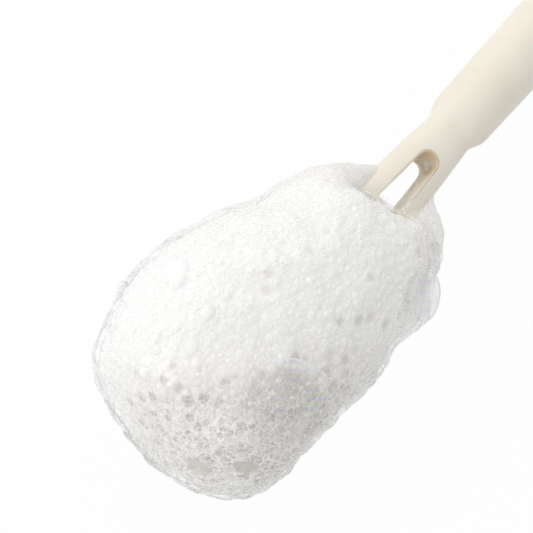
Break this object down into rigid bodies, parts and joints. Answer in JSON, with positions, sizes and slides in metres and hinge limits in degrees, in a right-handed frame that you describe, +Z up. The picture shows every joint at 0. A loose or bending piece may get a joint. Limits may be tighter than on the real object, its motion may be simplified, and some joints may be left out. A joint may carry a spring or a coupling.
{
  "type": "cup brush",
  "caption": "Short ivory cup brush lying down: round grip with hanging cap, forked neck, and a padded sponge head wholly covered in white soap lather.",
  "frame": {"origin": "on the flat face that the head's lather rests on, under the head's axis", "axes": "+X from the head towards the rear of the handle, +Y to the left when seen from behind the handle, +Z up from the surface it lies on"},
  "size_m": [0.2664, 0.0675, 0.06],
  "materials": {
    "ivory_plastic": "glossy moulded polypropylene, ivory",
    "sponge_foam": "soft open-cell sponge",
    "net_cloth": "fine knitted net",
    "seam_thread": "overlocked thread",
    "soap_lather": "wet white lather of clear bubbles"
  },
  "bodies": {
    "root": {"handle": "ivory_plastic", "hang_cap": "ivory_plastic", "sponge_front": "sponge_foam", "sponge_back": "sponge_foam", "sleeve_front": "net_cloth", "sleeve_back": "net_cloth", "edge_seam": "seam_thread", "lather": "soap_lather"}
  },
  "joints": []
}
